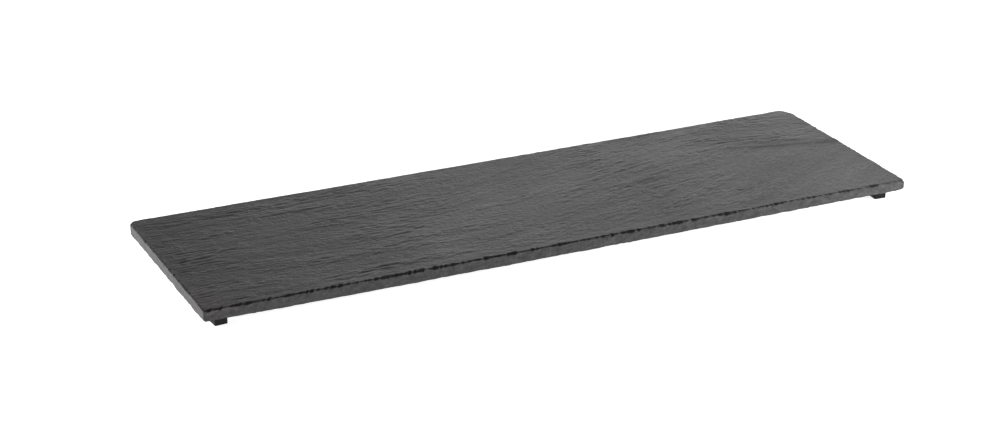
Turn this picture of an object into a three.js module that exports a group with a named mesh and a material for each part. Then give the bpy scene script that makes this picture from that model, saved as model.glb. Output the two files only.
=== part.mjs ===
// A slate serving slab in the 530 x 162 mm catering format, standing on four small rubber feet.
// Millimetres, +Z up. +X runs along the slab, +Y towards its back. The origin is on the surface
// that the feet stand on, under the middle of the slab.
import * as THREE from "three";
import { mergeVertices } from "three/addons/utils/BufferGeometryUtils.js";

// ---- Driving dimensions ----
const SLAB_LENGTH = 530;
const SLAB_WIDTH = 162;
const SLAB_THICKNESS = 8;
const CORNER_RADIUS = 5;
const ARRIS_BEVEL = 0.8; // the dressed strip along the top and bottom edges

const FOOT_SIZE = 9; // square in plan
const FOOT_HEIGHT = 7.5;
const FOOT_CORNER_RADIUS = 1.2;
const FOOT_EDGE_ROUND = 0.5; // the moulded rounding of the foot's top and bottom edges
const FOOT_END_INSET = 9.5; // from the slab's ends to the foot's nearest face
const FOOT_SIDE_INSET = 8; // and from its long sides

// ---- Riven stone: shallow dips in the cleaved faces, and sides that wander inward ----
const TOP_DIP = 0.5; // deepest dip below the slab's full thickness
const UNDERSIDE_DIP = 0.3;
const SIDE_WANDER = 0.4; // furthest that a side wanders in from the full length or width
const FOOT_PAD_RADIUS = 22; // the underside is flat this far from the middle of each foot
const FOOT_PAD_BLEND = 25; // and reaches its full dips over this distance
// Each wave: its length along X and along Y, and its phase in radians.
const TOP_WAVES = [
  { alongX: 310, alongY: 120, phase: 0.4 },
  { alongX: 145, alongY: -74, phase: 2.1 },
  { alongX: 88, alongY: 51, phase: 4.0 },
];
const UNDERSIDE_WAVES = [
  { alongX: 260, alongY: -95, phase: 1.3 },
  { alongX: 120, alongY: 66, phase: 3.2 },
];
const SIDE_WAVES = [
  { alongX: 97, alongY: 71, phase: 0.9 },
  { alongX: 41, alongY: -37, phase: 2.6 },
];

// ---- Mesh divisions of the slab ----
const CELLS_ALONG_X = 72;
const CELLS_ALONG_Y = 20;
const CELLS_IN_CORNER = 4; // grid cells across each rounded corner
const SIDE_LEVELS = [0, ARRIS_BEVEL, SLAB_THICKNESS - ARRIS_BEVEL, SLAB_THICKNESS];

const slateMaterial = new THREE.MeshStandardMaterial({ color: 0x4b4b4c, roughness: 0.6, metalness: 0 });
const rubberMaterial = new THREE.MeshStandardMaterial({ color: 0x17171a, roughness: 0.75, metalness: 0 });

const footReach = {
  x: SLAB_LENGTH / 2 - FOOT_END_INSET - FOOT_SIZE / 2,
  y: SLAB_WIDTH / 2 - FOOT_SIDE_INSET - FOOT_SIZE / 2,
};

// The depth of the stone's dips at a point, from 0 to 1. Between the dips it is 0, so that the
// slab reaches its full size there.
function dipAt(waves, x, y) {
  let sum = 0;
  for (const { alongX, alongY, phase } of waves) {
    sum += Math.sin(2 * Math.PI * (x / alongX + y / alongY) + phase);
  }
  return Math.max(0, sum / waves.length);
}

// 0 on the flat pads above the feet, 1 well away from them.
function awayFromFeet(x, y) {
  const distance = Math.hypot(Math.abs(x) - footReach.x, Math.abs(y) - footReach.y);
  return THREE.MathUtils.smoothstep(distance, FOOT_PAD_RADIUS, FOOT_PAD_RADIUS + FOOT_PAD_BLEND);
}

// Turns an evenly spaced grid line, from -1 to 1, into a distance from the middle. The outermost
// lines are packed into the corner's width, and the others share the straight stretch.
function gridLine(even, cells, half) {
  const cornerShare = (2 * CELLS_IN_CORNER) / cells;
  const straightShare = 1 - cornerShare;
  const straight = half - CORNER_RADIUS;
  const from = Math.abs(even);
  const reach =
    from <= straightShare
      ? straight * (from / straightShare)
      : straight + CORNER_RADIUS * ((from - straightShare) / cornerShare);
  return Math.sign(even) * reach;
}

// Bends the square grid of each corner onto a quarter disc, which rounds the outline, and moves the
// outline in by the inset and by the wander of its sides.
function roundedPlan(x, y, inset) {
  const straightX = SLAB_LENGTH / 2 - CORNER_RADIUS;
  const straightY = SLAB_WIDTH / 2 - CORNER_RADIUS;
  const u = Math.max(0, Math.abs(x) - straightX) / CORNER_RADIUS;
  const v = Math.max(0, Math.abs(y) - straightY) / CORNER_RADIUS;
  const radius = CORNER_RADIUS - inset - SIDE_WANDER * dipAt(SIDE_WAVES, x, y);
  const roundX = Math.min(Math.abs(x), straightX) + radius * u * Math.sqrt(1 - (v * v) / 2);
  const roundY = Math.min(Math.abs(y), straightY) + radius * v * Math.sqrt(1 - (u * u) / 2);
  return [Math.sign(x) * roundX, Math.sign(y) * roundY];
}

function makeSlab() {
  const topLevel = SIDE_LEVELS.length - 1;
  const box = new THREE.BoxGeometry(2, 2, topLevel, CELLS_ALONG_X, CELLS_ALONG_Y, topLevel);
  box.deleteAttribute("normal");
  box.deleteAttribute("uv");
  const geometry = mergeVertices(box);
  const position = geometry.getAttribute("position");
  for (let i = 0; i < position.count; i++) {
    const level = Math.round(position.getZ(i) + topLevel / 2);
    const isTop = level === topLevel;
    const isUnderside = level === 0;
    const [x, y] = roundedPlan(
      gridLine(position.getX(i), CELLS_ALONG_X, SLAB_LENGTH / 2),
      gridLine(position.getY(i), CELLS_ALONG_Y, SLAB_WIDTH / 2),
      isTop || isUnderside ? ARRIS_BEVEL : 0,
    );
    let z = SIDE_LEVELS[level];
    if (isTop) z -= TOP_DIP * dipAt(TOP_WAVES, x, y);
    if (isUnderside) z += UNDERSIDE_DIP * dipAt(UNDERSIDE_WAVES, x, y) * awayFromFeet(x, y);
    position.setXYZ(i, x, y, z);
  }
  const slab = new THREE.Mesh(geometry, slateMaterial);
  slab.name = "slate_slab";
  slab.position.z = FOOT_HEIGHT;
  return slab;
}

function roundedSquare(size, radius) {
  const middle = size / 2 - radius; // of each corner's arc
  const shape = new THREE.Shape();
  shape.absarc(middle, -middle, radius, -Math.PI / 2, 0);
  shape.absarc(middle, middle, radius, 0, Math.PI / 2);
  shape.absarc(-middle, middle, radius, Math.PI / 2, Math.PI);
  shape.absarc(-middle, -middle, radius, Math.PI, 1.5 * Math.PI);
  shape.closePath();
  return shape;
}

const footGeometry = new THREE.ExtrudeGeometry(
  roundedSquare(FOOT_SIZE - 2 * FOOT_EDGE_ROUND, FOOT_CORNER_RADIUS - FOOT_EDGE_ROUND),
  {
    depth: FOOT_HEIGHT - 2 * FOOT_EDGE_ROUND,
    curveSegments: 4,
    bevelThickness: FOOT_EDGE_ROUND,
    bevelSize: FOOT_EDGE_ROUND,
    bevelSegments: 3,
  },
).translate(0, 0, FOOT_EDGE_ROUND);

function makeFoot(name, sideX, sideY) {
  const foot = new THREE.Mesh(footGeometry, rubberMaterial);
  foot.name = name;
  foot.position.set(sideX * footReach.x, sideY * footReach.y, 0);
  return foot;
}

const servingSlab = new THREE.Group();
servingSlab.add(makeSlab());
for (const [depthName, sideY] of [["front", -1], ["back", 1]]) {
  for (const [sideName, sideX] of [["left", -1], ["right", 1]]) {
    servingSlab.add(makeFoot(`foot_${depthName}_${sideName}`, sideX, sideY));
  }
}

export default servingSlab;
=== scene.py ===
# A riven slate serving slab on four small rubber feet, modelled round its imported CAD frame.
# The stone is one closed mesh: a cleaved top and underside, joined by sides with chipped edges.
# Meshes are worked out in millimetres and turned to metres when they are made.
import math

import bpy
import numpy as np
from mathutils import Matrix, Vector


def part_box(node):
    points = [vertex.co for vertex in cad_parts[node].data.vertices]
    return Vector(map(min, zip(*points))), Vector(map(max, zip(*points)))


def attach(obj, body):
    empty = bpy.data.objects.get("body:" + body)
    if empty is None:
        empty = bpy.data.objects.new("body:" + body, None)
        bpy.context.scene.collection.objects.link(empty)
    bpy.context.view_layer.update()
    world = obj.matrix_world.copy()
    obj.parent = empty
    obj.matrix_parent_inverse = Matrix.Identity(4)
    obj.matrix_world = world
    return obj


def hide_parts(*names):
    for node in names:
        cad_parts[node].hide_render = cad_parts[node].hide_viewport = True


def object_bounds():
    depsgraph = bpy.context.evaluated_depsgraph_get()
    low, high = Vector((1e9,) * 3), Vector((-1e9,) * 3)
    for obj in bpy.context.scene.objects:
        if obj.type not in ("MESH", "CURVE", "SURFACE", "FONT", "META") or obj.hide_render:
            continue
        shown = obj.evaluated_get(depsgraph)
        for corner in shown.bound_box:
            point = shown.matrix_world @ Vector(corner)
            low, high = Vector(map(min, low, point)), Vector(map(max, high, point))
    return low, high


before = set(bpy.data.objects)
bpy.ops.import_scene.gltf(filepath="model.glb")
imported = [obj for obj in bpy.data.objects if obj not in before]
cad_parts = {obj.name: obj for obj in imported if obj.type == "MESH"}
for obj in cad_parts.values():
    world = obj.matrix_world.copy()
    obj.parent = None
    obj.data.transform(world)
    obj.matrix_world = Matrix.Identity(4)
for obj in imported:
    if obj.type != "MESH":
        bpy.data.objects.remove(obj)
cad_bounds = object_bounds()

MM = 0.001  # metres in a millimetre
FEET = ("foot_front_left", "foot_front_right", "foot_back_left", "foot_back_right")


def box_mm(node):
    """A CAD node's lowest and highest corners, in millimetres."""
    return [np.array(corner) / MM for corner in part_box(node)]


SLAB_LOW, SLAB_HIGH = box_mm("slate_slab")
HALF_LENGTH, HALF_WIDTH, TOP = SLAB_HIGH
UNDERSIDE = SLAB_LOW[2]


# ---- Camera, floor and lights ----

VIEW_AZIMUTH = math.radians(-25.13)
VIEW_ELEVATION = math.radians(22.68)
VIEW_DISTANCE = 1.6616
LENS = 86.06
AIM_OFFSET = Vector((-0.0282, -0.0199, 0))  # from the middle of the slab's top

FLOOR_HALF_SIZE = 6.0
FLOOR_COLOUR = (0.86, 0.86, 0.86, 1)
FLOOR_GLOW = 0.85  # the floor is a lit table, so shadows on it are faint
FLOOR_ROUGHNESS = 0.9
FLOOR_SHEEN = 0.1

WORLD_LIGHT = 0.12
# Each softbox: where it is, its width and height, and its power. All face the slab.
# The strongest is low behind the slab, so that it rakes across the stone's ridges.
SOFTBOXES = {
    "overhead": ((0.1, 0.1, 1.9), (2.2, 1.6), 2.0),
    "back": ((1.45, 1.7, 0.68), (2.2, 0.6), 12.5),
    "front": ((1.3, -1.7, 0.45), (1.6, 0.5), 4.0),
    "front_right": ((0.56, -0.32, 0.11), (0.2, 0.12), 3.3),
    "left": ((-1.1, 0.7, 0.4), (0.9, 0.6), 15.8),
}
UNMIRRORED_SOFTBOXES = ("front_right",)  # so near that its mirror image in the stone would glare


def make_camera():
    low, high = cad_bounds
    middle = (low + high) / 2
    aim = Vector((middle.x, middle.y, high.z)) + AIM_OFFSET
    level = math.cos(VIEW_ELEVATION)
    back = Vector((
        math.sin(VIEW_AZIMUTH) * level,
        -math.cos(VIEW_AZIMUTH) * level,
        math.sin(VIEW_ELEVATION),
    ))
    camera = bpy.data.objects.new("camera", bpy.data.cameras.new("camera"))
    camera.data.lens = LENS
    camera.location = aim + back * VIEW_DISTANCE
    camera.rotation_mode = "QUATERNION"
    camera.rotation_quaternion = (-back).to_track_quat("-Z", "Y")
    bpy.context.scene.collection.objects.link(camera)
    bpy.context.scene.camera = camera


def make_lights():
    world = bpy.data.worlds.new("studio")
    world.use_nodes = True
    world.node_tree.nodes["Background"].inputs["Color"].default_value = (1, 1, 1, 1)
    world.node_tree.nodes["Background"].inputs["Strength"].default_value = WORLD_LIGHT
    bpy.context.scene.world = world
    bpy.context.scene.view_settings.view_transform = "Standard"
    for name, (place, (width, height), power) in SOFTBOXES.items():
        lamp = bpy.data.lights.new(name, "AREA")
        lamp.shape = "RECTANGLE"
        lamp.size, lamp.size_y = width, height
        lamp.energy = power
        softbox = bpy.data.objects.new(name, lamp)
        softbox.visible_glossy = name not in UNMIRRORED_SOFTBOXES
        softbox.location = place
        softbox.rotation_mode = "QUATERNION"
        softbox.rotation_quaternion = (-Vector(place)).to_track_quat("-Z", "Y")
        bpy.context.scene.collection.objects.link(softbox)


def make_floor():
    half = FLOOR_HALF_SIZE
    corners = [(-half, -half, 0), (half, -half, 0), (half, half, 0), (-half, half, 0)]
    mesh = bpy.data.meshes.new("floor")
    mesh.from_pydata(corners, [], [(0, 1, 2, 3)])
    material = bpy.data.materials.new("floor")
    material.use_nodes = True
    shader = material.node_tree.nodes["Principled BSDF"]
    shader.inputs["Base Color"].default_value = FLOOR_COLOUR
    shader.inputs["Roughness"].default_value = FLOOR_ROUGHNESS
    shader.inputs["Specular IOR Level"].default_value = FLOOR_SHEEN
    shader.inputs["Emission Color"].default_value = (1, 1, 1, 1)
    shader.inputs["Emission Strength"].default_value = FLOOR_GLOW
    mesh.materials.append(material)
    floor = bpy.data.objects.new("floor", mesh)
    bpy.context.scene.collection.objects.link(floor)


# ---- Noise ----

HASH_X, HASH_Y, HASH_SEED, HASH_STIR = 73856093, 19349663, 83492791, 668265261
HASH_RANGE = 2**31 - 1
NOISE_GAIN = 1.5  # brings the highest hills to about 1
CREST_SHARPNESS = 3


def smoothstep(value, low, high):
    """0 up to low, 1 from high on, and an eased climb between them."""
    t = np.clip((value - low) / (high - low), 0, 1)
    return t * t * (3 - 2 * t)


def bell(value, middle, reach):
    """1 at the middle, fading to nearly 0 at twice the reach either side of it."""
    return np.exp(-(((value - middle) / reach) ** 2))


def noise(x, y, seed):
    """Smooth random hills and dips, about -1 to 1, of about one unit each."""
    cell_x, cell_y = np.floor(x), np.floor(y)
    in_x, in_y = x - cell_x, y - cell_y
    ease_x, ease_y = smoothstep(in_x, 0, 1), smoothstep(in_y, 0, 1)

    def corner(step_x, step_y):
        """The slope that the grid's corner gives, times the way from it."""
        hashed_x = (cell_x + step_x).astype(np.int64) * HASH_X
        hashed_y = (cell_y + step_y).astype(np.int64) * HASH_Y
        stirred = (hashed_x ^ hashed_y ^ seed * HASH_SEED) * HASH_STIR & HASH_RANGE
        stirred = (stirred ^ stirred >> 13) * HASH_STIR & HASH_RANGE
        angle = 2 * math.pi * stirred / HASH_RANGE
        return np.cos(angle) * (in_x - step_x) + np.sin(angle) * (in_y - step_y)

    near = corner(0, 0) * (1 - ease_x) + corner(1, 0) * ease_x
    far = corner(0, 1) * (1 - ease_x) + corner(1, 1) * ease_x
    return NOISE_GAIN * (near * (1 - ease_y) + far * ease_y)


def crest(x, y, seed):
    """Sharp random ridges, 0 to 1, with round hollows between them."""
    return (1 - np.abs(noise(x, y, seed))) ** CREST_SHARPNESS


def shapes(kind, size, along, across, seed):
    """Noise or crests that are a given length along the grain, breadth across it, and height."""
    length, breadth, height = size
    return height * kind(along / length, across / breadth, seed)


# ---- The cleaved faces ----

GRAIN_RISE = 0.27  # how steeply the grain climbs to the right in the middle of the slab
GRAIN_RISE_FROM, GRAIN_RISE_FULL = -90, 30
GRAIN_FALL = 0.50  # how much of a turn the upper right grain takes, downwards
GRAIN_FALL_FROM, GRAIN_FALL_FULL = 140, 215
GRAIN_SWING = 0.35  # and the lower right grain, upwards
GRAIN_SWING_FROM, GRAIN_SWING_FULL = 110, 200
FAULT_START = np.array([150.0, 34.0])  # the crease between the two, to the right-hand end
FAULT_END = np.array([268.0, 6.0])
FAULT_BLEND = 8  # the grain turns over this distance either side of the crease


def eased_rise(x, start, full):
    """How far a line has climbed whose slope eases from 0 to 1 between start and full."""
    t = np.clip((x - start) / (full - start), 0, 1)
    return (full - start) * (t**3 - t**4 / 2) + np.maximum(0, x - full)


def fault_distance(x, y):
    """Distance from the crease, positive behind it."""
    run = FAULT_END - FAULT_START
    run = run / np.linalg.norm(run)
    return (y - FAULT_START[1]) * run[0] - (x - FAULT_START[0]) * run[1]


def grain_across(x, y):
    """Where a point lies across the grain that runs behind the crease, and across the grain before
    it, and how much the first of them counts."""
    level = y - GRAIN_RISE * eased_rise(x, GRAIN_RISE_FROM, GRAIN_RISE_FULL)
    behind = level + GRAIN_FALL * eased_rise(x, GRAIN_FALL_FROM, GRAIN_FALL_FULL)
    before = level - GRAIN_SWING * eased_rise(x, GRAIN_SWING_FROM, GRAIN_SWING_FULL)
    return behind, before, smoothstep(fault_distance(x, y), -FAULT_BLEND, FAULT_BLEND)


# The shapes in the cleaved stone: the length, the breadth and the height of each.
SWERVE = (40, 18, 9)  # the grain's own swerves along itself
DRIFT = (16, 6, 1.2)  # and across itself
WIDE_BEDS = (60, 12, 2.6)  # the height of the beds is counted in beds
NARROW_BEDS = (24, 5.5, 1.2)
PATCHES = (45, 15, 1)
RIDGES = (16, 5.2, 0.24)
SMALL_RIDGES = (7.5, 4.2, 0.32)
LINEATION = (4.5, 2.5, 0.22)
BED_HEIGHT = 0.09
BED_STEP = (0.6, 0.95)  # the part of the way from one bed to the next on which the stone steps up
PATCH_EDGE = (-0.2, 0.3)
OUTSIDE_PATCHES = 0.35  # the share of their height that the ridges have outside the patches


def riven(along, across, seed):
    """The fine shape of cleaved stone, in millimetres: worn beds, ridges in patches and short lineation."""
    wave = along + shapes(noise, SWERVE, along, across, seed)
    drift = across + shapes(noise, DRIFT, along, across, seed + 1)
    wide_beds = shapes(noise, WIDE_BEDS, wave, drift, seed + 2)
    beds = wide_beds + shapes(noise, NARROW_BEDS, wave, drift, seed + 3)
    bed = np.floor(beds)
    stepped = bed + smoothstep(beds - bed, *BED_STEP)
    in_patch = smoothstep(shapes(noise, PATCHES, along, across, seed + 4), *PATCH_EDGE)
    patch = OUTSIDE_PATCHES + (1 - OUTSIDE_PATCHES) * in_patch
    ridges = shapes(crest, RIDGES, wave, drift, seed + 5)
    small_ridges = shapes(crest, SMALL_RIDGES, wave, drift, seed + 6)
    lineation = shapes(noise, LINEATION, wave, drift, seed + 7)
    return BED_HEIGHT * stepped + patch * (ridges + small_ridges + lineation)


STROKE_FADE = 0.3  # the share of a ridge's length over which each of its ends fades


def stroke(x, y, start, end, width, height):
    """A single ridge from start to end, or a crease if its height is negative."""
    start, end = np.array(start, float), np.array(end, float)
    run = end - start
    span = np.linalg.norm(run)
    part = ((x - start[0]) * run[0] + (y - start[1]) * run[1]) / span**2
    off = ((y - start[1]) * run[0] - (x - start[0]) * run[1]) / span
    fade = smoothstep(part, 0, STROKE_FADE) * (1 - smoothstep(part, 1 - STROKE_FADE, 1))
    return height * fade * bell(off, 0, width)


# The ridges and creases that stand out from the rest: start, end, half width and height.
STROKES = [
    ((-4, 2), (36, 18), 1.1, 0.30),
    ((-6, -3), (30, 11), 1.0, -0.18),
    ((16, -16), (58, -1), 1.0, 0.24),
    ((20, -10), (52, 2), 0.9, -0.16),
    ((82, 22), (126, 32), 1.1, 0.26),
    ((88, -2), (132, 7), 1.0, 0.28),
    ((104, -20), (136, -13), 1.1, -0.28),
    ((-230, 64), (-192, 61), 1.3, -0.48),
    ((-180, 52), (-130, 50), 1.0, 0.30),
    ((-262, 4), (-214, 7), 0.9, 0.30),
    ((-264, -1), (-222, 1), 0.9, 0.30),
    ((-263, -6), (-226, -4), 0.9, 0.30),
    ((-262, -11), (-230, -9), 0.9, 0.26),
    ((-150, -22), (-84, -18), 1.1, -0.20),
    ((-110, 28), (-58, 32), 1.2, 0.32),
    ((-60, -52), (-12, -45), 1.1, 0.22),
    ((165, 44), (232, 34), 1.3, 0.30),
    ((180, 38), (250, 22), 1.2, 0.24),
    ((-180, -66), (-146, -63), 1.0, 0.34),
    ((-172, -71), (-150, -69), 0.9, 0.30),
]
SWELL_DEPTH = 0.10
LONG_SWELLS = (170, 75, 1)
SHORT_SWELLS = (70, 40, 0.6)
MEAN_RELIEF = 0.30
GRAIN_STRETCH = 1.6  # how much longer the ridges are at the left-hand end than at the right
STRETCH_FULL, STRETCH_NONE = -150, 10

# How much of its relief the top has kept, and where it is less or more than that.
USUALLY_KEPT = 1.05
CALM_LOSS, CALM_FROM, CALM_FULL = 0.4, 150, 230  # the smooth lower right corner
CALM_SLANT = 0.4  # how the smooth part's left-hand limit slants
WORN_LOSS, WORN_MIDDLE, WORN_REACH = 0.45, -15, 70
BOLD_GAIN, BOLD_MIDDLE, BOLD_REACH = 0.1, 115, 55
RUB_LOSS, RUB_REACH = 0.5, 7  # the relief is rubbed down towards the edges

FAULT_STEP = 0.34  # height of the step in the stone at the crease
FAULT_STEP_FROM, FAULT_STEP_FULL = 165, 215
FAULT_STEP_RISE = (-1.4, 1.0)  # where the step climbs, as distances behind the crease
FAULT_STEP_DATUM = 0.3  # the share of the step that lies below the stone's mean height


def top_relief(x, y):
    """The shape of the top in millimetres, without its long swells."""
    behind, before, is_behind = grain_across(x, y)
    along = x / GRAIN_STRETCH + (1 - 1 / GRAIN_STRETCH) * eased_rise(x, STRETCH_FULL, STRETCH_NONE)
    fine = riven(along, behind, seed=11) * is_behind + riven(along, before, seed=11) * (1 - is_behind)
    for start, end, width, height in STROKES:
        fine = fine + stroke(x, y, start, end, width, height)
    calm = smoothstep(x - CALM_SLANT * y, CALM_FROM, CALM_FULL) * (1 - is_behind)
    worn_middle = bell(x, WORN_MIDDLE, WORN_REACH)
    bold = bell(x, BOLD_MIDDLE, BOLD_REACH)
    from_edge = np.minimum(HALF_LENGTH - np.abs(x), HALF_WIDTH - np.abs(y))
    kept = (1 - CALM_LOSS * calm) * (USUALLY_KEPT - WORN_LOSS * worn_middle + BOLD_GAIN * bold)
    kept = kept * (1 - RUB_LOSS + RUB_LOSS * smoothstep(from_edge, 0, RUB_REACH))
    risen = smoothstep(fault_distance(x, y), *FAULT_STEP_RISE) - FAULT_STEP_DATUM
    step = FAULT_STEP * smoothstep(x, FAULT_STEP_FROM, FAULT_STEP_FULL) * risen
    return MEAN_RELIEF + (fine - MEAN_RELIEF) * kept + step


def top_swell(x, y):
    """The top's long, low swells."""
    long_swells = shapes(noise, LONG_SWELLS, x, y, seed=31)
    return SWELL_DEPTH * (long_swells + shapes(noise, SHORT_SWELLS, x, y, seed=32))


BELLY_DEPTH = 0.45  # the stone is thickest along the middle
BELLY_LEFT, BELLY_RIGHT = (-250, -170), (120, 240)  # where it thickens, and where it thins again
FOOT_PAD_HALF = 6.5  # the stone is ground flat this far from the middle of each foot
FOOT_PAD_BLEND = 4  # and takes this much more to blend in
UNDERSIDE_KEPT = 0.6  # the height of the underside's relief, as a share of the top's
UNDERSIDE_DATUM = 0.1
UNDERSIDE_GRAIN_RISE = 0.06
UNDERSIDE_SHIFT = 900  # so far along the grain that the pattern is another one


def underside_relief(x, y):
    """The shape of the underside in millimetres, ground flat where the feet are glued on."""
    belly = BELLY_DEPTH * smoothstep(x, *BELLY_LEFT) * (1 - smoothstep(x, *BELLY_RIGHT))
    away = np.ones_like(x)
    for foot in FEET:
        low, high = box_mm(foot)
        middle = (low + high) / 2
        distance = np.maximum(np.abs(x - middle[0]), np.abs(y - middle[1]))
        away = away * smoothstep(distance, FOOT_PAD_HALF, FOOT_PAD_HALF + FOOT_PAD_BLEND)
    fine = riven(x + UNDERSIDE_SHIFT, y - UNDERSIDE_GRAIN_RISE * x, seed=51)
    return belly + away * (UNDERSIDE_KEPT * fine - UNDERSIDE_DATUM)


TOP_SETTLE = 0.30  # how far the bottom of the relief lies below the CAD's top


def top_height(plan):
    x, y = plan.T
    return TOP - TOP_SETTLE + top_swell(x, y) + top_relief(x, y)


def underside_height(plan):
    return UNDERSIDE - underside_relief(*plan.T)


CREST_REACH = 1.3  # how far either side of a point its crests are judged


def wear(relief, plan):
    """How far each point stands up from the stone before and behind it, in millimetres."""
    x, y = plan.T
    return relief(x, y) - (relief(x, y - CREST_REACH) + relief(x, y + CREST_REACH)) / 2


# ---- The outline and its chips ----

# Round the slab from the front right: which way each corner lies, and its radius.
CORNERS = [(1, -1, 1.8), (1, 1, 2.5), (-1, 1, 6.2), (-1, -1, 1.2)]
CORNER_POINTS = 33
COLUMN_SPACING = 0.76
BAND = 5.0  # width of the strip of each cleaved face that follows the outline
BAND_RADIUS = 1.5  # corner radius of the strip's inner edge
TURNED_SPAN = (0.3, 0.9)  # a side is turned a way as this much of its outward direction points there
START_FADE = 5  # noise along the edge dies away this near to where the way round begins

# How the outline strays from the full length and width.
MEAN_WANDER = 0.02
LONG_WANDER, SHORT_WANDER = (45, 0.06), (13, 0.05)  # the length and the depth of its ripples
BACK_HOLLOW, BACK_HOLLOW_MIDDLE, BACK_HOLLOW_REACH = 0.5, -70, 100  # a shallow bow in the back edge
CORNER_BULGE = 0.45  # the two back corners stand out by this much
BACK_LEFT_REACH, BACK_RIGHT_REACH = 8, 16
END_BULGE = 0.75  # the front half of the right-hand end stands out by this much
END_BULGE_EASES = (-40, 30)  # and comes out over this way towards the front
TIP_BULGE = 0.75  # and the front right corner by this much more
TIP_REACH = 6
TIP_BULGE_IN_FRONT = 0.2  # the share of the corner's bulge that its front side has
CUT_CORNER = np.array([5.5, 8.3])  # what the broken back right corner has lost of the back edge and the end
CUT_SOFTNESS = 0.5
CUT_LEAST_FACING = 0.5

# Each kind of chip: its seed, how many there are round the slab, and the spans of their half lengths
# and depths.
BEADS = (81, 750, (0.6, 2.0), (0.0, 1.4))
FLAKES = (82, 260, (1.5, 5.0), (0.1, 0.6))
UNDER_CHIPS = (83, 300, (0.8, 5.0), (0.1, 0.8))
# What is gone from the top's edge: everywhere, where it is worn, and for the depth of a bead and of a
# flake; and how much more or less that is towards the right.
BITE, BITE_TO_RIGHT = (0.10, 0.25, 1.4, 1.1), -0.25  # inwards
DROP, DROP_TO_RIGHT = (0.12, 0.15, 0.8, 0.8), 0.75  # and downwards
TO_RIGHT = (-40, 200)  # from the left-hand kind of edge to the right-hand kind
WORN_CORNERS = (0.9, 0.5)  # what more is gone inwards from the front right and the back left corner
CORNER_DROP = 1.5  # and how many times as much downwards
WORN_CORNER_REACH = 5
UNDER_TIP_BITE, UNDER_TIP_DROP = 0.8, 1.0
# How worn the top's edge is and how dark the painted shade on the stone below it is, at the front, at the
# left-hand end, by how much more at the right-hand end, and elsewhere.
WORN = (1, 0.65, 0.3, 0.14)
WORN_TO_RIGHT = -0.4  # how much more or less worn the front is towards the right
DARKNESS = (1, 0.95, 0.45, 0.35)
# How worn the bottom edge is everywhere, and by how much more at the left-hand end and at the right
# of the front.
UNDER_WORN = (0.35, 0.5, 0.5)
UNDER_LEAST, UNDER_FRONT_RIGHT = 0.10, 0.3
UNDER_WAVE, UNDER_WAVE_LIFT = (8, 0.35), 0.105  # the length and the depth of the left-hand end's waves
EDGE_DARKNESS = 0.8  # the painted shade is a little lighter at the very edges of the broken strip than in its middle
DARK_MEAN, DARK_TO_RIGHT = 0.85, -0.15
# The ripples in how dark the painted shade is: the length of each and its strength. They are stronger,
# or there is more of what they shape, towards the right.
DARK_GAPS, DARK_GAPS_TO_RIGHT = (2.4, 0.9), 1.8
LONG_DARK_GAPS = (9, 0.6)
PITS, PITS_TO_RIGHT, PITS_MEAN = (2.2, 1.6), 0.2, -0.15
UNDER_DARK, UNDER_DARK_MEAN, UNDER_DARK_MOST = (3.1, 0.8), 0.35, 0.8
CLEAN_TIP_FROM, CLEAN_TIP_FULL = 244, 250  # the front edge gets no painted shade from here to the right
CLEAN_TIP_REACH = 16


def turned(toward):
    """How surely a side is turned a way, from the part of its outward direction that points there."""
    return smoothstep(toward, *TURNED_SPAN)


def rounded_rectangle(inset, radii):
    """Points round the slab and the outward direction at each, anticlockwise from the middle of the
    front right corner and back to it."""
    points, outward = [], []
    for (side_x, side_y, _), radius in zip(CORNERS, radii):
        reach = inset + radius
        middle = np.array([side_x * (HALF_LENGTH - reach), side_y * (HALF_WIDTH - reach)])
        facing = math.atan2(side_y, side_x)
        for angle in np.linspace(facing - math.pi / 4, facing + math.pi / 4, CORNER_POINTS):
            direction = np.array([math.cos(angle), math.sin(angle)])
            points.append(middle + radius * direction)
            outward.append(direction)
    order = np.roll(np.arange(len(points)), -(CORNER_POINTS // 2))
    order = np.append(order, order[0])
    return np.array(points)[order], np.array(outward)[order]


def chips(along, total, seed, count, half_lengths, depths):
    """Depth in millimetres of the chips that overlap along an edge."""
    rng = np.random.default_rng(seed)
    centres = rng.uniform(0, total, count)
    halves = rng.uniform(*half_lengths, count)
    deepest = rng.uniform(*depths, count)
    found = np.zeros_like(along)
    for centre, half, deep in zip(centres, halves, deepest):
        away = np.abs((along - centre + total / 2) % total - total / 2) / half
        found = np.maximum(found, deep * np.sqrt(np.clip(1 - away**2, 0, 1)))
    return found


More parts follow.
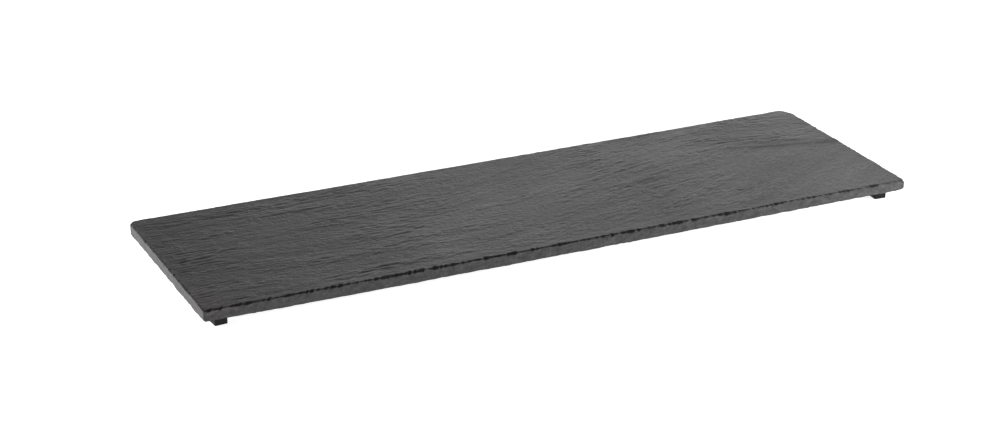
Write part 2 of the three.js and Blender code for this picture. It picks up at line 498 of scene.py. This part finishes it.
class Outline:
    """The slab's outline as evenly spaced columns, with the way each is turned, and what the chips
    take off it: the bite inwards from the outline and the drop from the face."""

    def __init__(self):
        knots, knots_outward = rounded_rectangle(0, [radius for *_, radius in CORNERS])
        inner_knots, _ = rounded_rectangle(BAND, [BAND_RADIUS] * len(CORNERS))
        travelled = np.concatenate([[0], np.cumsum(np.linalg.norm(np.diff(knots, axis=0), axis=1))])
        self.total = travelled[-1]
        self.along = np.linspace(0, self.total, round(self.total / COLUMN_SPACING), endpoint=False)

        def at_columns(values):
            return np.stack([np.interp(self.along, travelled, column) for column in values.T], axis=1)

        self.points = at_columns(knots)
        self.outward = at_columns(knots_outward)
        self.outward /= np.linalg.norm(self.outward, axis=1, keepdims=True)
        self.right, self.back = turned(self.outward.T)
        self.left, self.front = turned(-self.outward.T)
        self.points -= self.outward * self.wander()[:, None]
        self.inward = (at_columns(inner_knots) - self.points) / BAND
        self.to_right = smoothstep(self.points[:, 0], *TO_RIGHT)
        self.chip_top_edge()
        self.chip_bottom_edge()
        self.darken()

    def ripple(self, length, seed):
        """Noise along the edge, which dies away where the way round ends and begins again."""
        to_end = np.minimum(self.along, self.total - self.along)
        return noise(self.along / length, np.zeros_like(self.along), seed) * smoothstep(to_end, 0, START_FADE)

    def waves(self, size, seed):
        """Ripples of a given length and height."""
        length, height = size
        return height * self.ripple(length, seed)

    def wander(self):
        """How far in the sides stand from the full length and width."""
        x, y = self.points.T
        fair = MEAN_WANDER + self.waves(LONG_WANDER, seed=71) + self.waves(SHORT_WANDER, seed=72)
        hollow = BACK_HOLLOW * self.back * bell(x, BACK_HOLLOW_MIDDLE, BACK_HOLLOW_REACH)
        back_left = self.near(-HALF_LENGTH, HALF_WIDTH, BACK_LEFT_REACH)
        back_right = self.near(HALF_LENGTH - BACK_RIGHT_REACH / 2, HALF_WIDTH, BACK_RIGHT_REACH)
        end = self.right * smoothstep(-y, *END_BULGE_EASES)
        tip = self.near(HALF_LENGTH, -HALF_WIDTH, TIP_REACH)
        tip = tip * (TIP_BULGE_IN_FRONT + (1 - TIP_BULGE_IN_FRONT) * self.right)
        bulge = CORNER_BULGE * (back_left + self.back * back_right) + END_BULGE * end + TIP_BULGE * tip
        return fair + hollow - bulge + self.cut()

    def cut(self):
        """How far in the break across the back right corner goes."""
        facing = CUT_CORNER[::-1] / np.linalg.norm(CUT_CORNER)
        beyond = (self.points - (HALF_LENGTH - CUT_CORNER[0], HALF_WIDTH)) @ facing
        beyond = (beyond + np.sqrt(beyond**2 + CUT_SOFTNESS**2)) / 2
        near_corner = self.near(HALF_LENGTH, HALF_WIDTH, 3 * CUT_CORNER.max())
        return near_corner * beyond / np.maximum(self.outward @ facing, CUT_LEAST_FACING)

    def by_side(self, amounts):
        """An amount for each column, from those for the front, the left-hand end, how much more at the
        right-hand end, and elsewhere."""
        front, left, more_at_right, elsewhere = amounts
        at_ends = np.maximum(left * self.left, elsewhere + more_at_right * self.right)
        return np.maximum(front * self.front, at_ends)

    def near(self, x, y, reach):
        """1 at a corner, fading to nearly 0 at twice this distance from it."""
        offset = self.points - np.array([x, y])
        return bell(np.linalg.norm(offset, axis=1), 0, reach)

    def chip_top_edge(self):
        """The bite and the drop of the top's edge, most along the front, then at the left-hand end."""
        front_worn, *others_worn = WORN
        worn = self.by_side((front_worn + WORN_TO_RIGHT * self.to_right, *others_worn))
        beads = chips(self.along, self.total, *BEADS)
        flakes = chips(self.along, self.total, *FLAKES)

        def gone(amounts, more_to_right):
            least, where_worn, by_beads, by_flakes = amounts
            chipped = where_worn + by_beads * beads + by_flakes * flakes
            return least + worn * (1 + more_to_right * self.to_right) * chipped

        front_right = self.near(HALF_LENGTH, -HALF_WIDTH, TIP_REACH)
        back_left = self.near(-HALF_LENGTH, HALF_WIDTH, WORN_CORNER_REACH)
        corners = WORN_CORNERS[0] * front_right + WORN_CORNERS[1] * back_left
        self.bite = gone(BITE, BITE_TO_RIGHT) + corners
        self.drop = gone(DROP, DROP_TO_RIGHT) + CORNER_DROP * corners

    def chip_bottom_edge(self):
        """The bite and the drop of the bottom edge, which waves at the left-hand end."""
        front_to_right = self.front * self.to_right
        everywhere, more_at_left, more_to_right = UNDER_WORN
        worn = everywhere + more_at_left * self.left + more_to_right * front_to_right
        wave = self.left * np.maximum(0, self.waves(UNDER_WAVE, seed=78) + UNDER_WAVE_LIFT)
        chipped = worn * chips(self.along, self.total, *UNDER_CHIPS)
        worn_off = UNDER_LEAST + chipped + wave + UNDER_FRONT_RIGHT * front_to_right
        front_right = self.near(HALF_LENGTH, -HALF_WIDTH, TIP_REACH)
        self.under_bite = worn_off + UNDER_TIP_BITE * front_right
        self.under_drop = worn_off + UNDER_TIP_DROP * front_right

    def darken(self):
        """Painted shade, standing in for the shade in the chips: in the strip below the top's edge, in pits
        just inside that edge, and along the bottom edge."""
        tip = smoothstep(self.points[:, 0], CLEAN_TIP_FROM, CLEAN_TIP_FULL) * self.front
        around_tip = self.near(HALF_LENGTH, -HALF_WIDTH, CLEAN_TIP_REACH)
        darkness = self.by_side(DARKNESS) * (1 - tip) * (1 - around_tip)
        gap_length, gap_strength = DARK_GAPS
        gaps = (gap_strength + DARK_GAPS_TO_RIGHT * self.to_right) * self.ripple(gap_length, seed=75)
        dark = DARK_MEAN + DARK_TO_RIGHT * self.to_right + gaps + self.waves(LONG_DARK_GAPS, seed=76)
        self.dark = np.clip(dark * darkness, 0, 1)
        self.edge_dark = EDGE_DARKNESS * self.dark
        # Painted shade of pits on the top, just inside its edge at the front and the right-hand end.
        pits = np.clip(PITS_MEAN + PITS_TO_RIGHT * self.to_right + self.waves(PITS, seed=79), 0, 1)
        self.pits = pits * self.dark * np.maximum(self.front, self.right)
        # Painted shade along the bottom edge.
        self.under_dark = np.clip(UNDER_DARK_MEAN + self.waves(UNDER_DARK, seed=77), 0, UNDER_DARK_MOST)

    def ring(self, inset):
        """A point of each column, this far in from the outline."""
        return self.points + self.inward * np.broadcast_to(inset, self.along.shape)[:, None]


# ---- Mesh building ----


class Solid:
    """A closed mesh as it is put together: its points with their masks, and its faces with their
    corners' places on the bake's map."""

    def __init__(self):
        self.points, self.faces, self.uvs, self.masks = [], [], [], []
        self.count = 0

    def add_points(self, points, **masks):
        """Adds points, with the masks that the material reads, and returns their indices."""
        self.points.append(points)
        self.masks.append({name: np.broadcast_to(value, len(points)) for name, value in masks.items()})
        indices = np.arange(self.count, self.count + len(points))
        self.count += len(points)
        return indices

    def add_faces(self, faces, uvs):
        self.faces.extend(faces.tolist())
        self.uvs.append(np.asarray(uvs, float).reshape(-1, 2))

    def all_points(self):
        return np.concatenate(self.points)

    def mask(self, name):
        return np.concatenate([part[name] for part in self.masks])


def ring_quads(inner, outer):
    """Faces between two rings of as many points, the second further out or lower down."""
    return np.stack([inner, outer, np.roll(outer, -1), np.roll(inner, -1)], axis=1)


WAY_ROUND = 4  # the whole way round, one for each side


def round_the_rectangle(points):
    """Where each point is on its way round, a side at a time, from the front right corner."""
    x = points[:, 0] / np.abs(points[:, 0]).max()
    y = points[:, 1] / np.abs(points[:, 1]).max()
    tiny = 1e-9
    on_right = (y / np.maximum(x, tiny) + 1) / 2
    on_back = 1 + (1 - x / np.maximum(y, tiny)) / 2
    on_left = 2 + (1 - y / np.maximum(-x, tiny)) / 2
    on_front = 3 + (x / np.maximum(-y, tiny) + 1) / 2
    on_end = np.abs(x) >= np.abs(y)
    return np.where(on_end, np.where(x > 0, on_right, on_left), np.where(y > 0, on_back, on_front))


def opened_loop(indices, way):
    """A loop's points in the order of their way round, with the first again at the end."""
    order = np.argsort(way)
    order = np.append(order, order[0])
    ordered_way = way[order]
    ordered_way[-1] += WAY_ROUND
    return indices[order], ordered_way


def lacing(inner, inner_way, outer, outer_way):
    """Triangles that fill the strip between two loops with different numbers of points."""
    inner, inner_way = opened_loop(inner, inner_way)
    outer, outer_way = opened_loop(outer, outer_way)
    triangles, i, j = [], 0, 0
    while i < len(inner) - 1 or j < len(outer) - 1:
        outer_is_done = j == len(outer) - 1
        if i < len(inner) - 1 and (outer_is_done or inner_way[i + 1] <= outer_way[j + 1]):
            triangles.append((inner[i], outer[j], inner[i + 1]))
            i += 1
        else:
            triangles.append((inner[i], outer[j], outer[j + 1]))
            j += 1
    return np.array(triangles)


GRID_INSET = 6.5  # the grids end this far in from the full length and width


def grid(step_x, step_y):
    """Points over the slab's middle, their faces and their boundary, anticlockwise from above."""
    half_x, half_y = HALF_LENGTH - GRID_INSET, HALF_WIDTH - GRID_INSET
    columns, rows = round(2 * half_x / step_x) + 1, round(2 * half_y / step_y) + 1
    x, y = np.meshgrid(np.linspace(-half_x, half_x, columns), np.linspace(-half_y, half_y, rows))
    index = np.arange(x.size).reshape(x.shape)
    faces = np.stack([index[:-1, :-1], index[:-1, 1:], index[1:, 1:], index[1:, :-1]], axis=-1)
    edge = np.concatenate([index[:-1, -1], index[-1, :0:-1], index[:0:-1, 0], index[0, :-1]])
    return np.stack([x.ravel(), y.ravel()], axis=1), faces.reshape(-1, 4), edge


def with_height(plan, height):
    """Points in the plan, raised to a height or to a height each."""
    return np.column_stack([plan, np.broadcast_to(height, len(plan))])


def make_piece(name, solid, material, smooth_angle):
    """Makes the object that a solid is, in metres."""
    mesh = bpy.data.meshes.new(name)
    mesh.from_pydata(solid.all_points() * MM, [], solid.faces)
    mesh.polygons.foreach_set("use_smooth", np.ones(len(mesh.polygons), bool))
    mesh.set_sharp_from_angle(angle=smooth_angle)
    if solid.uvs:
        mesh.uv_layers.new(name="OFBake")
        mesh.uv_layers["OFBake"].data.foreach_set("uv", np.concatenate(solid.uvs).ravel())
    mesh.materials.append(material)
    piece = bpy.data.objects.new(name, mesh)
    bpy.context.scene.collection.objects.link(piece)
    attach(piece, "root")
    return piece


def store(mesh, name, values):
    """Gives each point of a mesh a number or a vector that its material reads by name."""
    vector = values.ndim == 2
    attribute = mesh.attributes.new(name, "FLOAT_VECTOR" if vector else "FLOAT", "POINT")
    attribute.data.foreach_set("vector" if vector else "value", values.astype(np.float32).ravel())


# ---- The bake's map of the slab: the underside at the bottom, the sides in two strips, the top above ----

MAP_MARGIN = 0.004
MAP_TOP = (0.53, 0.99)
MAP_UNDERSIDE = (0.01, 0.47)
MAP_STRIPS = ((0.475, 0.497), (0.503, 0.525))


def face_map(points, faces, heights, mirrored):
    """Places on the map of a cleaved face's corners, laid out as seen square on."""
    across = (points[:, 0] / HALF_LENGTH + 1) / 2
    across = 1 - across if mirrored else across
    u = MAP_MARGIN + (1 - 2 * MAP_MARGIN) * across
    v = heights[0] + (heights[1] - heights[0]) * (points[:, 1] / HALF_WIDTH + 1) / 2
    return np.stack([u, v], axis=1)[faces]


def side_map(outline, row_top, row_bottom):
    """Places on the map of one row of the sides' faces. Each strip holds half the way round."""
    half = outline.total / 2
    after = np.append(outline.along[1:], outline.total)
    second = outline.along >= half
    start = np.where(second, half, 0)
    u = np.stack([outline.along - start, outline.along - start, after - start, after - start], axis=1) / half
    low = np.where(second, MAP_STRIPS[1][0], MAP_STRIPS[0][0])[:, None]
    high = np.where(second, MAP_STRIPS[1][1], MAP_STRIPS[0][1])[:, None]
    v = high + (low - high) * np.array([row_top, row_bottom, row_bottom, row_top])
    return np.stack([MAP_MARGIN + (1 - 2 * MAP_MARGIN) * np.clip(u, 0, 1), v], axis=-1)


# ---- The slab ----

TOP_STEP_X, TOP_STEP_Y = 2.0, 0.76  # finer across the grain than along it
UNDER_STEP_X, UNDER_STEP_Y = 3.0, 2.4
BAND_FRACTIONS = (1, 0.6, 0.3, 0.12, 0)
STRIP_FRACTIONS = (0.35, 0.7)  # down the broken strip below the top's edge
SIDE_FRACTIONS = (0, 0.08, 0.28, 0.50, 0.72, 0.92, 1)
UNDER_BAND_FRACTIONS = (0, 0.2, 0.6, 1)
SIDE_INSET = 0.05
SCARS = (8, 3.2, 0.16)  # the length, the height up the side and the depth of the scars on the sides
SIDE_GRIT = (2.1, 1.1, 0.05)
STRIP_LUMPS, STRIP_GRAINS = (1.9, 0.22), (0.9, 0.12)  # how rough the broken strip is, as shares of the bite
STRIP_MOST = 1.1  # the furthest in that the strip goes, as a share of the bite
UNDERSIDE_APART, SIDES_APART = 40.0, 80.0  # the third numbers that tell the faces' patterns apart
SMOOTH_ANGLE = math.radians(42)


def add_top(solid, outline):
    """A fine grid, laced to rings that follow the outline. Returns the last ring and its points."""
    plan, faces, edge = grid(TOP_STEP_X, TOP_STEP_Y)
    grid_index = solid.add_points(
        with_height(plan, top_height(plan)),
        side=0, under=0, fracture=0, relief=top_relief(*plan.T), wear=wear(top_relief, plan),
    )
    solid.add_faces(faces, face_map(solid.all_points(), faces, MAP_TOP, mirrored=False))
    # Painted shade on the ring at the top's edge and, as pits, on the ring just inside it.
    fractures = {BAND_FRACTIONS[-1]: outline.edge_dark, BAND_FRACTIONS[-2]: outline.pits}
    previous = None
    for fraction in BAND_FRACTIONS:
        plan = outline.ring(outline.bite + (BAND - outline.bite) * fraction)
        points = with_height(plan, top_height(plan))
        index = solid.add_points(
            points,
            side=0, under=0, fracture=fractures.get(fraction, 0),
            relief=top_relief(*plan.T), wear=wear(top_relief, plan),
        )
        everything = solid.all_points()
        if previous is None:
            loop = grid_index[edge]
            faces = lacing(loop, round_the_rectangle(everything[loop]), index, round_the_rectangle(points))
        else:
            faces = ring_quads(previous, index)
        solid.add_faces(faces, face_map(everything, faces, MAP_TOP, mirrored=False))
        previous = index
    return previous, points


def side_rows(outline, arris_height):
    """The rows of points from under the top's edge to the bottom edge, each with its mask of painted shade.
    """
    rows = []
    for number, fraction in enumerate(STRIP_FRACTIONS):
        rough = outline.waves(STRIP_LUMPS, seed=91 + number) + outline.waves(STRIP_GRAINS, seed=93 + number)
        plan = outline.ring(outline.bite * np.clip(1 - fraction + rough, 0, STRIP_MOST))
        rows.append((with_height(plan, arris_height - outline.drop * fraction), outline.dark))
    bottom_edge = underside_height(outline.ring(outline.under_bite))
    upper, lower = arris_height - outline.drop, bottom_edge + outline.under_drop
    # Painted shade at the top of the sides and along the bottom edge.
    fractures = {SIDE_FRACTIONS[0]: outline.edge_dark, SIDE_FRACTIONS[-1]: outline.under_dark}
    for fraction in SIDE_FRACTIONS:
        height = upper + (lower - upper) * fraction
        scars = np.abs(shapes(noise, SCARS, outline.along, height, seed=95))
        grit = shapes(noise, SIDE_GRIT, outline.along, height, seed=96)
        points = with_height(outline.ring(SIDE_INSET + scars + grit), height)
        rows.append((points, fractures.get(fraction, 0)))
    return rows


def add_sides(solid, outline, previous, arris_height):
    """The sides' rows, below the top's last ring. Returns the last row and how many there are."""
    rows = side_rows(outline, arris_height)
    for number, (points, fracture) in enumerate(rows):
        index = solid.add_points(points, side=1, under=0, fracture=fracture, relief=0, wear=0)
        share = 1 / (len(rows) + 1)
        solid.add_faces(ring_quads(previous, index), side_map(outline, number * share, (number + 1) * share))
        previous = index
    return previous, len(rows)


def add_underside(solid, outline, previous, row_count):
    """Rings, then a grid that is coarser than the top's."""

    def mapped(faces):
        return face_map(solid.all_points(), faces, MAP_UNDERSIDE, mirrored=True)

    for fraction in UNDER_BAND_FRACTIONS:
        plan = outline.ring(outline.under_bite + (BAND - outline.under_bite) * fraction)
        points = with_height(plan, underside_height(plan))
        is_edge = fraction == 0
        index = solid.add_points(
            points,
            side=0, under=1, fracture=outline.under_dark if is_edge else 0,
            relief=underside_relief(*plan.T), wear=wear(underside_relief, plan),
        )
        faces = ring_quads(previous, index)
        last_row_top = row_count / (row_count + 1)
        solid.add_faces(faces, side_map(outline, last_row_top, 1) if is_edge else mapped(faces))
        previous = index
    plan, faces, edge = grid(UNDER_STEP_X, UNDER_STEP_Y)
    index = solid.add_points(
        with_height(plan, underside_height(plan)),
        side=0, under=1, fracture=0, relief=underside_relief(*plan.T), wear=wear(underside_relief, plan),
    )
    loop = index[edge]
    loop_way = round_the_rectangle(solid.all_points()[loop])
    laced = lacing(loop, loop_way, previous, round_the_rectangle(points))
    for downward in (laced[:, ::-1], index[faces][:, ::-1]):
        solid.add_faces(downward, mapped(downward))


def grain_coordinates(solid, outline, row_count):
    """For each point, its place along and across the grain, and a third number that tells the faces
    apart. On the sides they are the way round, the same to left and right, and the height."""
    points = solid.all_points()
    behind, before, is_behind = grain_across(points[:, 0], points[:, 1])
    across = behind * is_behind + before * (1 - is_behind)
    under = solid.mask("under") > 0.5
    grain = np.stack([
        points[:, 0],
        np.where(under, points[:, 1], across),
        np.where(under, UNDERSIDE_APART, 0.0),
    ], axis=1)
    on_side = solid.mask("side") > 0.5
    way_round = np.tile(np.abs(outline.along - outline.total / 2), row_count)
    apart = np.full(on_side.sum(), SIDES_APART)
    grain[on_side] = np.stack([way_round, points[on_side, 2], apart], axis=1)
    return grain


def make_slab(material):
    solid = Solid()
    outline = Outline()
    last_ring, arris = add_top(solid, outline)
    last_ring, row_count = add_sides(solid, outline, last_ring, arris[:, 2])
    add_underside(solid, outline, last_ring, row_count)
    slab = make_piece("slate", solid, material, SMOOTH_ANGLE)
    store(slab.data, "grain", grain_coordinates(solid, outline, row_count))
    for name in ("side", "fracture", "relief", "wear"):
        store(slab.data, name, solid.mask(name))
    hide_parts("slate_slab")


# ---- Materials ----

NOISE_SPAN = (0.3, 0.7)  # nearly all of a noise texture's values lie between these
NOISE_MIDDLE = 0.5


class Tree:
    """Adds nodes to a material. A node's input is given as a number, a colour or another node's output."""

    def __init__(self, name):
        self.material = bpy.data.materials.new(name)
        self.material.use_nodes = True
        self.shader = self.material.node_tree.nodes["Principled BSDF"]

    def set(self, node, inputs):
        for name, value in inputs.items():
            socket = node.inputs[name]
            if isinstance(value, bpy.types.NodeSocket):
                self.material.node_tree.links.new(value, socket)
            else:
                socket.default_value = value

    def add(self, kind, inputs=None, **settings):
        node = self.material.node_tree.nodes.new(kind)
        for name, value in settings.items():
            setattr(node, name, value)
        self.set(node, inputs or {})
        return node

    def attribute(self, name, output="Fac"):
        return self.add("ShaderNodeAttribute", attribute_name=name).outputs[output]

    def math(self, operation, first, second=0.0, third=0.0):
        return self.add("ShaderNodeMath", {0: first, 1: second, 2: third}, operation=operation).outputs[0]

    def scaled(self, vector, scale):
        return self.add("ShaderNodeVectorMath", {0: vector, 1: scale}, operation="MULTIPLY").outputs[0]

    def noise(self, vector, detail=2.0, roughness=0.5, scale=1.0):
        inputs = {"Vector": vector, "Scale": scale, "Detail": detail, "Roughness": roughness}
        return self.add("ShaderNodeTexNoise", inputs).outputs["Fac"]

    def span(self, value, low, high, to_low, to_high):
        """Maps a value from one span to another, and holds it at the ends."""
        inputs = {"Value": value, "From Min": low, "From Max": high, "To Min": to_low, "To Max": to_high}
        return self.add("ShaderNodeMapRange", inputs).outputs["Result"]

    def varied(self, texture, low, high):
        """Spreads a noise texture's values between low and high."""
        return self.span(texture, *NOISE_SPAN, low, high)

    def centred(self, texture):
        """Moves a noise texture's middle value to 0."""
        return self.math("SUBTRACT", texture, NOISE_MIDDLE)

    def mix(self, factor, first, second):
        """One colour where the factor is 0, another where it is 1."""
        node = self.add("ShaderNodeMix", {"Factor": factor}, data_type="RGBA")
        self.set(node, {6: first, 7: second})
        return node.outputs[2]


SLATE_GREY = (0.0415, 0.0415, 0.042, 1)
SLATE_WARM = (0.0445, 0.040, 0.0415, 1)
# The near black of the painted shade on the chipped edges, their pits and the bottom edge.
EDGE_SHADE_BLACK = (0.010, 0.010, 0.0105, 1)
WARM_FULL_X, WARM_NONE_X = -0.262, -0.205  # metres: the left-hand end has warmer patches
SLATE_SHEEN = 0.5
BROKEN_ROUGHER = 0.3
# The heights in millimetres of the finest shapes, which the mesh is too coarse for.
STREAK_HEIGHT = 0.08
CREASE_DEPTH = 0.9
GRIT_HEIGHT = 0.16
SPECK_HEIGHT = 0.014


def slate_material():
    tree = Tree("slate")
    place = tree.add("ShaderNodeTexCoord").outputs["Object"]
    grain = tree.attribute("grain", "Vector")
    side = tree.attribute("side")
    fracture = tree.attribute("fracture")
    relief = tree.attribute("relief")
    # How far each point stands above its neighbours: it lightens the crests, partly as wear and partly as a
    # painted highlight, and strengthens the grit.
    worn = tree.attribute("wear")

    def in_grain(length, breadth, detail, roughness, scale=1.0):
        """Noise of a length and a breadth along and across the grain, in millimetres."""
        sized = tree.scaled(grain, (1 / length, 1 / breadth, 1))
        return tree.noise(sized, detail=detail, roughness=roughness, scale=scale)

    cloud = tree.noise(place, detail=4, scale=16)
    speck = tree.noise(place, detail=3, roughness=0.7, scale=1900)
    streak = in_grain(8, 1.2, detail=3, roughness=0.6)
    grit = in_grain(1.6, 2.0, detail=2, roughness=0.6)
    fleck = in_grain(2.2, 2.4, detail=2, roughness=0.6, scale=1.3)
    scuff = in_grain(6, 4, detail=4, roughness=0.65)
    crease = tree.math("ABSOLUTE", tree.centred(in_grain(8, 5.0, detail=2, roughness=0.55)))

    # The grit stands out on the crests and is faint in the hollows.
    rough_grit = tree.math("MULTIPLY", tree.centred(grit), tree.span(worn, -0.10, 0.15, 0.6, 1.9))

    # How light the stone is, as a share of its colour.
    dusty = tree.math("MULTIPLY", side, tree.span(scuff, 0.38, 0.66, -0.42, 0.34))
    shares = [
        tree.varied(streak, 0.86, 1.14),
        tree.varied(speck, 0.86, 1.14),
        tree.math("MULTIPLY_ADD", rough_grit, 0.85, 1.0),
        # Scattered light flecks: painted glints, small highlights set into the colour.
        tree.span(fleck, 0.58, 0.72, 0.98, 1.5),
        # Higher parts lighter and hollows darker: partly wear, partly painted light on the high parts and
        # painted shade in the hollows.
        tree.span(relief, -0.3, 0.6, 0.85, 1.15),
        # Lighter crests: partly wear, partly a painted highlight along the ridge tops.
        tree.span(worn, -0.15, 0.2, 0.80, 1.75),
        tree.math("ADD", dusty, 1.0),
    ]
    tone = tree.varied(cloud, 0.90, 1.10)
    for share in shares:
        tone = tree.math("MULTIPLY", tone, share)

    place_x = tree.add("ShaderNodeSeparateXYZ", {0: place}).outputs[0]
    at_left_end = tree.span(place_x, WARM_FULL_X, WARM_NONE_X, 1, 0)
    warm = tree.math("MULTIPLY", at_left_end, tree.span(cloud, 0.4, 0.6, 0.2, 1))
    colour = tree.mix(warm, SLATE_GREY, SLATE_WARM)
    toned = tree.add("ShaderNodeVectorMath", {0: colour, "Scale": tone}, operation="SCALE").outputs[0]
    # Painted shade: the chipped edges, the pits and the bottom edge are mixed towards near black; the same
    # mask makes them rougher.
    edge_shade_and_roughness = tree.span(fracture, 0.2, 0.8, 0, 1)
    colour = tree.mix(edge_shade_and_roughness, toned, EDGE_SHADE_BLACK)

    roughness = tree.math("ADD", tree.varied(cloud, 0.46, 0.54), tree.varied(speck, -0.03, 0.03))
    roughness = tree.math("ADD", roughness, tree.math("MULTIPLY", edge_shade_and_roughness, BROKEN_ROUGHER))

    height = tree.math("MULTIPLY", streak, STREAK_HEIGHT)
    height = tree.math("SUBTRACT", height, tree.math("MULTIPLY", crease, CREASE_DEPTH))
    height = tree.math("ADD", height, tree.math("MULTIPLY", rough_grit, GRIT_HEIGHT))
    height = tree.math("ADD", height, tree.math("MULTIPLY", speck, SPECK_HEIGHT))
    bump = tree.add("ShaderNodeBump", {"Height": height, "Distance": MM, "Strength": 1.0})

    tree.set(tree.shader, {
        "Base Color": colour,
        "Roughness": roughness,
        "Normal": bump.outputs["Normal"],
        "Specular IOR Level": SLATE_SHEEN,
    })
    return tree.material


RUBBER_BLACK = (0.004, 0.004, 0.0045, 1)
RUBBER_DUSTY = (0.010, 0.010, 0.011, 1)
RUBBER_SHEEN = 0.3
PEBBLE_HEIGHT = 0.04  # millimetres


def rubber_material():
    tree = Tree("rubber")
    place = tree.add("ShaderNodeTexCoord").outputs["Object"]
    cloud = tree.noise(place, detail=3, scale=260)
    pebble = tree.noise(place, detail=2, roughness=0.6, scale=2600)
    colour = tree.mix(tree.span(cloud, 0.4, 0.7, 0, 1), RUBBER_BLACK, RUBBER_DUSTY)
    roughness = tree.varied(cloud, 0.62, 0.78)
    pebbled = tree.math("MULTIPLY", pebble, PEBBLE_HEIGHT)
    bump = tree.add("ShaderNodeBump", {"Height": pebbled, "Distance": MM})
    tree.set(tree.shader, {
        "Base Color": colour,
        "Roughness": roughness,
        "Normal": bump.outputs["Normal"],
        "Specular IOR Level": RUBBER_SHEEN,
    })
    return tree.material


# ---- The feet ----

FOOT_CORNER_RADIUS = 0.6
FOOT_EDGE_ROUND = 0.25
FOOT_BULGE = 0.10  # how far the soft sides swell, half way up
# How askew each foot was stuck on: its turn anticlockwise in degrees, and its shift.
FOOT_ASKEW = {
    "foot_front_left": (5, (-0.4, -0.9)),
    "foot_front_right": (-3, (0.7, 0)),
    "foot_back_left": (-3, (0.3, 0.2)),
    "foot_back_right": (2, (0, -0.4)),
}
FOOT_CORNER_POINTS = 9
FOOT_ROUNDING_STEPS = 5
FOOT_SIDE_STEPS = 8
FOOT_SMOOTH_ANGLE = math.radians(40)


def rounded_square(half, radius):
    """Points round a square with round corners, anticlockwise."""
    points = []
    for quarter in range(4):
        facing = math.pi / 4 + quarter * math.pi / 2
        middle = (half - radius) * math.sqrt(2) * np.array([math.cos(facing), math.sin(facing)])
        for angle in np.linspace(facing - math.pi / 4, facing + math.pi / 4, FOOT_CORNER_POINTS):
            points.append(middle + radius * np.array([math.cos(angle), math.sin(angle)]))
    return np.array(points)


def foot_profile(height):
    """Inset and height of each ring, from the top's flat to the base's."""
    top_round = []
    for step in range(FOOT_ROUNDING_STEPS + 1):
        angle = math.pi / 2 * step / FOOT_ROUNDING_STEPS
        inset = FOOT_EDGE_ROUND * (1 - math.sin(angle))
        top_round.append((inset, height - FOOT_EDGE_ROUND * (1 - math.cos(angle))))
    straight = height - 2 * FOOT_EDGE_ROUND
    sides = []
    for step in range(1, FOOT_SIDE_STEPS):
        z = height - FOOT_EDGE_ROUND - straight * step / FOOT_SIDE_STEPS
        sides.append((FOOT_BULGE * (2 * z / height - 1) ** 2, z))
    base_round = [(inset, height - z) for inset, z in reversed(top_round)]
    return top_round + sides + base_round


def make_foot(name, material):
    low, high = box_mm(name)
    half = (high[0] - low[0]) / 2
    degrees, shift = FOOT_ASKEW[name]
    middle = (low + high)[:2] / 2 + np.array(shift)
    turn = math.radians(degrees)
    turned = np.array([[math.cos(turn), math.sin(turn)], [-math.sin(turn), math.cos(turn)]])
    solid = Solid()
    previous = None
    for inset, height in foot_profile(high[2] - low[2]):
        ring = rounded_square(half - inset, FOOT_CORNER_RADIUS - inset) @ turned
        index = solid.add_points(with_height(ring + middle, low[2] + height))
        if previous is None:
            solid.faces.append(index.tolist())
        else:
            solid.faces.extend(ring_quads(previous, index).tolist())
        previous = index
    solid.faces.append(previous[::-1].tolist())
    foot = make_piece(name.replace("foot", "rubber_foot"), solid, material, FOOT_SMOOTH_ANGLE)
    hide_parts(name)


make_camera()
make_lights()
make_floor()
make_slab(slate_material())
rubber = rubber_material()
for foot_name in FEET:
    make_foot(foot_name, rubber)
